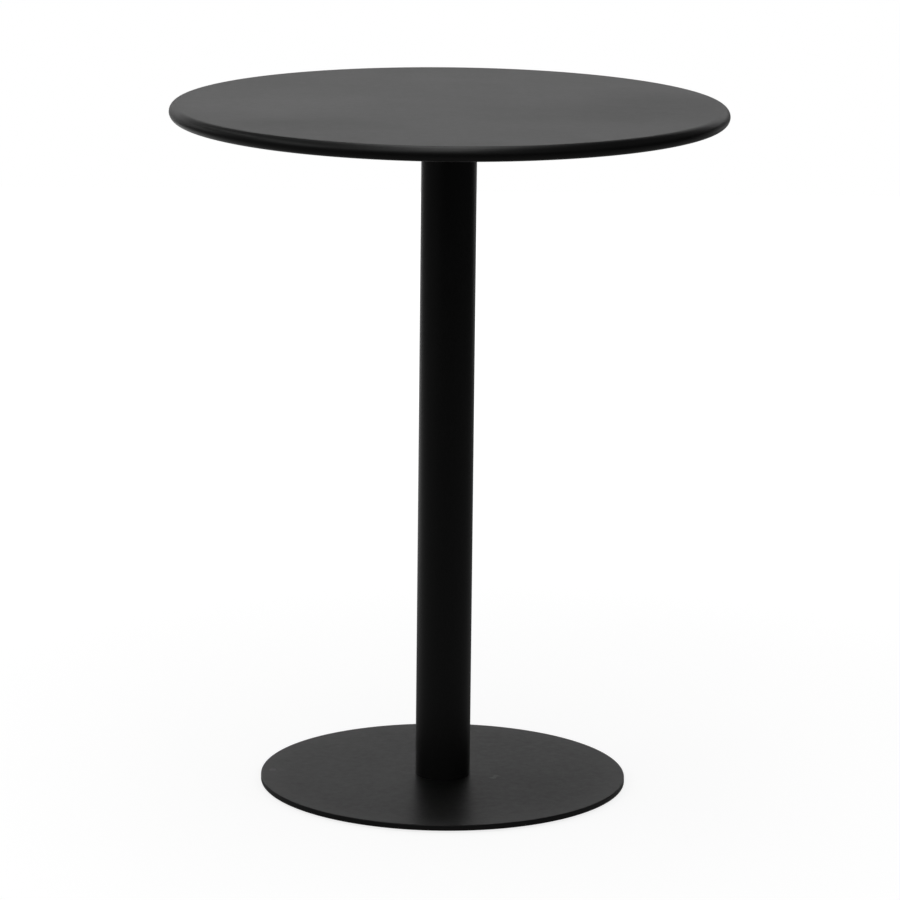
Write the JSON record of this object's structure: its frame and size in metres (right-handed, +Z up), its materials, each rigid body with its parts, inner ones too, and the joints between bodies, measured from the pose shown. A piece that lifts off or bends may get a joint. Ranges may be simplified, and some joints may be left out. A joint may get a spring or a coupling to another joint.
{
  "type": "bistro table",
  "caption": "Round bistro table: black powder-coated steel top with a rolled rim, round tube column and flat disc base on nylon glides.",
  "frame": {"origin": "on the floor under the middle of the column, at the bottom of the glides", "axes": "+Z up along the column; +X along the long brace under the top; the picture looks along +Y"},
  "size_m": [0.5999, 0.6, 0.75],
  "materials": {
    "top_coat": "satin black powder coat, fine texture",
    "frame_coat": "satin black powder coat over welded steel, thinner in the corners",
    "column_coat": "satin black powder coat on drawn tube",
    "base_coat": "satin black powder coat on plate, lightly scuffed",
    "zinc_plate": "bright zinc plate",
    "black_oxide": "black oxide on steel",
    "nylon": "moulded black nylon"
  },
  "bodies": {
    "root": {"tabletop": "top_coat", "brace_long": "frame_coat", "brace_front": "frame_coat", "brace_back": "frame_coat", "brace_welds": "frame_coat", "mount_plate": "frame_coat", "mount_plate_welds": "frame_coat", "weld_nuts": "frame_coat", "column_flange": "frame_coat", "flange_weld": "frame_coat", "foot_disc": "frame_coat", "foot_weld": "frame_coat", "column_tube": "column_coat", "base_plate": "base_coat", "flange_bolts": "zinc_plate", "flange_washers": "zinc_plate", "spring_washers": "zinc_plate", "base_screws": "black_oxide", "glide_1": "nylon", "glide_2": "nylon", "glide_3": "nylon", "glide_4": "nylon"}
  },
  "joints": []
}
